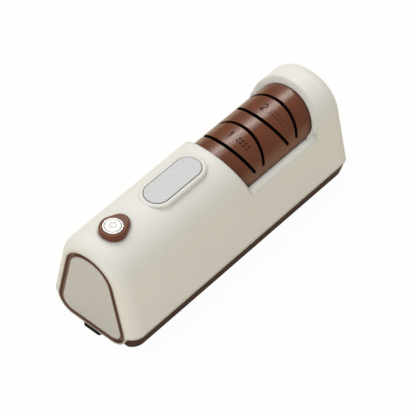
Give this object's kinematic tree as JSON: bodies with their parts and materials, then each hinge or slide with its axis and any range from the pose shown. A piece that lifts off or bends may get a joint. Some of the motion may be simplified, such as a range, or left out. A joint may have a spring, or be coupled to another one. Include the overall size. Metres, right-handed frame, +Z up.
{
  "type": "electric knife sharpener",
  "caption": "Cordless electric knife sharpener: arched housing, lift-off slotted grinding head over powered wheels, push button and end panel.",
  "frame": {"origin": "middle of the footprint on the surface that the feet stand on", "axes": "+X along the body from the panelled end with the button towards the hooded end, +Y to the side with the charging socket, +Z up"},
  "size_m": [0.206, 0.07, 0.0792],
  "materials": {
    "shell_white": "satin moulded plastic",
    "base_brown": "satin",
    "panel_grey": "satin",
    "plate_grey": "fine speckle, satin",
    "collar_brown": "semi gloss",
    "ring_chrome": "polished",
    "button_white": "semi gloss",
    "black_plastic": "matte",
    "board_green": "solder mask",
    "steel": "plain",
    "cell_wrap": "shrink wrap",
    "brass": "turned",
    "wheel_alloy": "cast",
    "grit_coarse": "coarse abrasive",
    "grit_fine": "fine ceramic",
    "head_brown": "semi gloss, faint brushed",
    "rubber": "matte"
  },
  "bodies": {
    "housing": {"upper_housing": "shell_white", "base_plate": "base_brown", "end_bezel": "base_brown", "end_panel": "panel_grey", "top_plate": "plate_grey", "button_collar": "collar_brown", "button_ring": "ring_chrome", "power_switch": "black_plastic", "control_board": "board_green", "board_screws": "steel", "charge_port": "steel", "charge_board": "board_green", "battery_cells": "cell_wrap", "battery_strap": "black_plastic", "strap_screws": "steel", "motor_can": "steel", "motor_end_cap": "black_plastic", "motor_mount": "black_plastic", "motor_screws": "steel", "near_bearing": "steel", "far_bearing": "steel", "wheel_trough": "black_plastic", "rubber_feet": "rubber", "end_foot": "rubber", "base_screws": "steel"},
    "head": {"head_cover": "head_brown", "blade_guide": "black_plastic"},
    "button": {"power_button": "button_white", "switch_plunger": "black_plastic"},
    "spindle": {"motor_rotor": "steel", "shaft_coupling": "brass", "drive_axle": "steel", "retaining_clip": "steel", "axle_spacers": "brass", "coarse_wheel": "wheel_alloy", "fine_wheel": "wheel_alloy", "coarse_grit": "grit_coarse", "fine_grit": "grit_fine"}
  },
  "joints": [
    {"name": "head_lift", "type": "slide", "parent": "housing", "child": "head", "axis": [0, 0, 1], "range_m": [0, 0.032]},
    {"name": "button_press", "type": "slide", "parent": "housing", "child": "button", "axis": [0, 0, -1], "range_m": [0, 0.0012], "stiffness_N_per_m": 500, "springref_m": -0.001},
    {"name": "spindle_spin", "type": "hinge", "parent": "housing", "child": "spindle", "pos_m": [0.0428, 0, 0.035], "axis": [1, 0, 0], "continuous": true}
  ]
}
